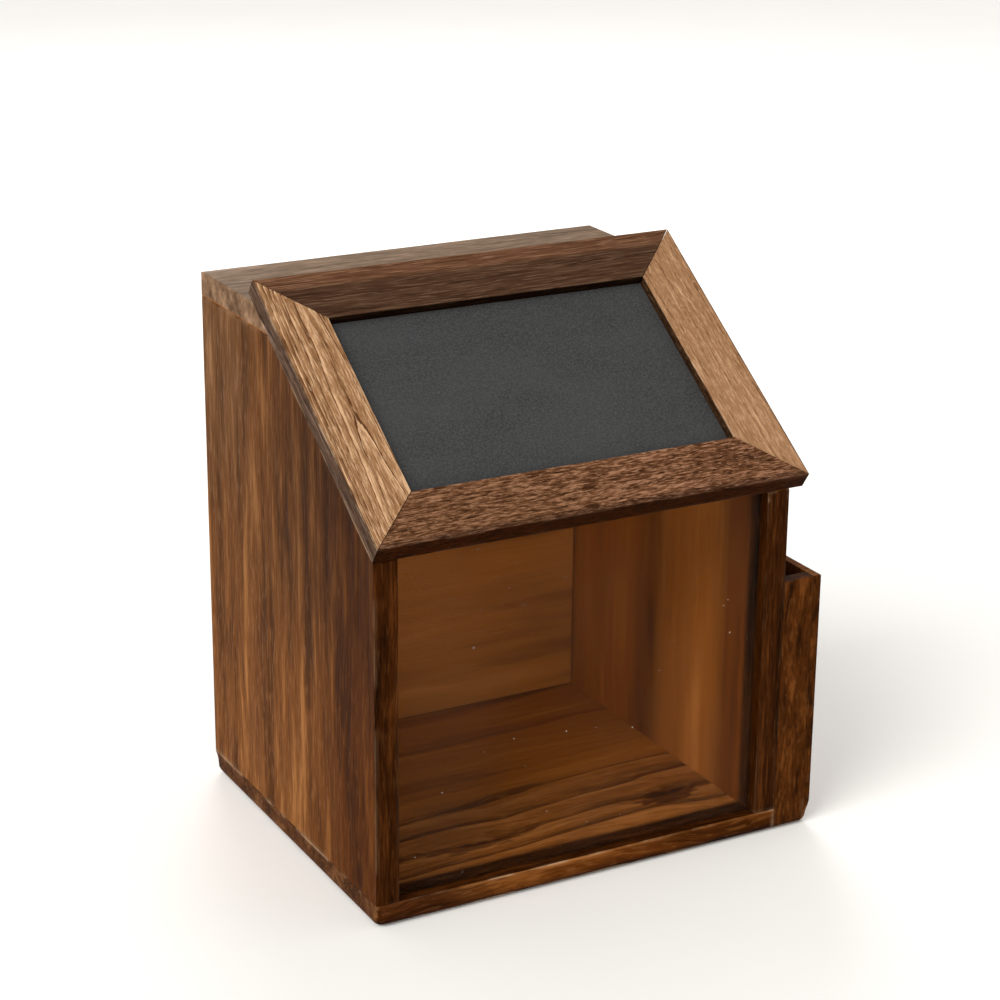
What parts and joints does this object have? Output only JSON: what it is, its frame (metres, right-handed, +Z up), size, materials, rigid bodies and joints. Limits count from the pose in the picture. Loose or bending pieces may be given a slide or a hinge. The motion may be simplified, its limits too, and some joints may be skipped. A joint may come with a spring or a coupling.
{
  "type": "desk letter box",
  "caption": "Desk letter box of stained wood with a slanted chalkboard lid, clear front, side pocket and a locking back door.",
  "frame": {"origin": "middle of the case's underside", "axes": "+Z up, front with the clear pane towards -Y, side pocket on +X"},
  "size_m": [0.2197, 0.207, 0.2539],
  "materials": {
    "stained_wood": "oiled, brushed grain",
    "top_wood": "oiled, brushed grain",
    "lid_dark_wood": "oiled, deeply brushed grain",
    "lid_light_wood": "oiled, deeply brushed grain",
    "floor_wood": "oiled, bold grain",
    "chalkboard": "matt writing surface",
    "clear_sheet": "clear",
    "chrome": "polished",
    "nickel_steel": "nickel plated",
    "plain_steel": "bare",
    "brass": "plain"
  },
  "bodies": {
    "case": {"floor_board": "floor_wood", "left_side_panel": "stained_wood", "right_side_panel": "stained_wood", "top_board": "top_wood", "window_pane": "clear_sheet", "chalkboard_panel": "chalkboard", "lid_bottom_rail": "lid_dark_wood", "lid_top_rail": "lid_dark_wood", "lid_left_stile": "lid_light_wood", "lid_right_stile": "lid_light_wood", "frame_v_nails": "plain_steel", "door_stop_strip": "floor_wood", "case_brads": "plain_steel", "pocket_brads": "plain_steel", "pocket_front_board": "stained_wood", "pocket_back_board": "stained_wood", "pocket_outer_board": "stained_wood", "pocket_floor_board": "stained_wood", "hinge_case_leaf_upper": "nickel_steel", "hinge_case_leaf_lower": "nickel_steel", "hinge_pin_upper": "nickel_steel", "hinge_pin_lower": "nickel_steel", "hinge_case_screws": "nickel_steel"},
    "door": {"back_door": "stained_wood", "hinge_door_leaf_upper": "nickel_steel", "hinge_door_leaf_lower": "nickel_steel", "hinge_door_screws": "nickel_steel", "lock_housing": "chrome", "lock_nut": "nickel_steel", "lock_driver_pins": "brass"},
    "lock_core": {"lock_plug": "chrome", "lock_cam": "nickel_steel", "cam_screw": "nickel_steel", "lock_key_pins": "brass"},
    "key": {"lock_key": "chrome"},
    "ring": {"key_ring": "chrome"},
    "spare": {"spare_key": "chrome"}
  },
  "joints": [
    {"name": "door_swing", "type": "hinge", "parent": "case", "child": "door", "pos_m": [0.0886, 0.0892, 0.122], "axis": [0, 0, -1], "range_deg": [0, 180]},
    {"name": "lock_turn", "type": "hinge", "parent": "door", "child": "lock_core", "pos_m": [-0.064, 0.0875, 0.122], "axis": [0, 1, 0], "range_deg": [0, 90]},
    {"name": "key_slide", "type": "slide", "parent": "lock_core", "child": "key", "axis": [0, 1, 0], "range_m": [0, 0.0188]},
    {"name": "ring_hang", "type": "hinge", "parent": "key", "child": "ring", "pos_m": [-0.05949, 0.1048, 0.11989], "axis": [0, 1, 0], "range_deg": [-90, 0]},
    {"name": "spare_swing", "type": "hinge", "parent": "ring", "child": "spare", "pos_m": [-0.05738, 0.1048, 0.10623], "axis": [1, 0, 0], "range_deg": [-18, 60]}
  ],
  "couplings": [
    {"joint": "ring_hang", "follows": "lock_turn", "ratio": -1}
  ]
}
